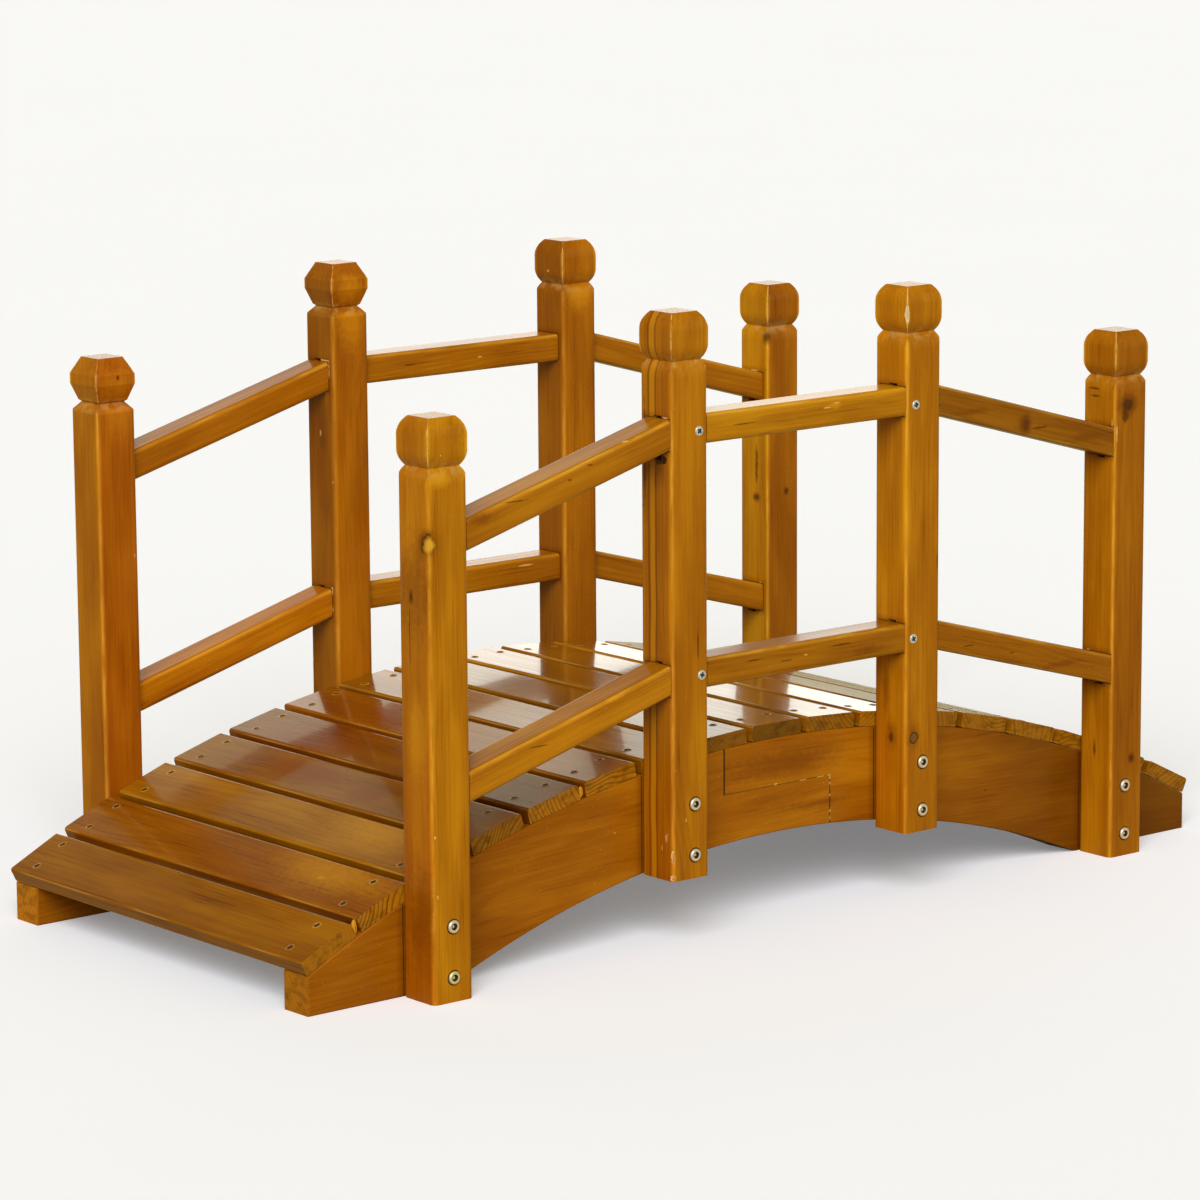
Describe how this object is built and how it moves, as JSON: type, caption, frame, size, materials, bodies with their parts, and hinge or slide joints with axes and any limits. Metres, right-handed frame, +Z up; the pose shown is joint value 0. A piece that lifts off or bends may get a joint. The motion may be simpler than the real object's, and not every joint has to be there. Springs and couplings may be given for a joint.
{
  "type": "garden moon bridge",
  "caption": "Small arched wooden footbridge for a garden: curved side beams, cross boards, and low railings of shaped posts with a top and a lower rail.",
  "frame": {"origin": "on the ground under the middle of the deck", "axes": "+X along the walkway, +Y across the walkway towards the back railing, +Z up"},
  "size_m": [1.003, 0.5, 0.5333],
  "materials": {
    "post_wood": "amber stain, satin varnish",
    "rail_wood": "amber stain, satin varnish",
    "beam_wood": "amber stain, satin varnish",
    "deck_wood": "amber stain, glossy varnish"
  },
  "bodies": {
    "root": {"front_left_end_post": "post_wood", "front_left_mid_post": "post_wood", "front_left_top_rail": "rail_wood", "front_left_lower_rail": "rail_wood", "front_right_end_post": "post_wood", "front_right_mid_post": "post_wood", "front_right_top_rail": "rail_wood", "front_right_lower_rail": "rail_wood", "front_middle_top_rail": "rail_wood", "front_middle_lower_rail": "rail_wood", "front_beam_left_half": "beam_wood", "front_beam_right_half": "beam_wood", "back_left_end_post": "post_wood", "back_left_mid_post": "post_wood", "back_left_top_rail": "rail_wood", "back_left_lower_rail": "rail_wood", "back_right_end_post": "post_wood", "back_right_mid_post": "post_wood", "back_right_top_rail": "rail_wood", "back_right_lower_rail": "rail_wood", "back_middle_top_rail": "rail_wood", "back_middle_lower_rail": "rail_wood", "back_beam_left_half": "beam_wood", "back_beam_right_half": "beam_wood", "deck_board_01": "deck_wood", "deck_board_02": "deck_wood", "deck_board_03": "deck_wood", "deck_board_04": "deck_wood", "deck_board_05": "deck_wood", "deck_board_06": "deck_wood", "deck_board_07": "deck_wood", "deck_board_08": "deck_wood", "deck_board_09": "deck_wood", "deck_board_10": "deck_wood", "deck_board_11": "deck_wood", "deck_board_12": "deck_wood", "deck_board_13": "deck_wood", "deck_board_14": "deck_wood", "deck_board_15": "deck_wood", "deck_board_16": "deck_wood", "deck_board_17": "deck_wood"}
  },
  "joints": []
}
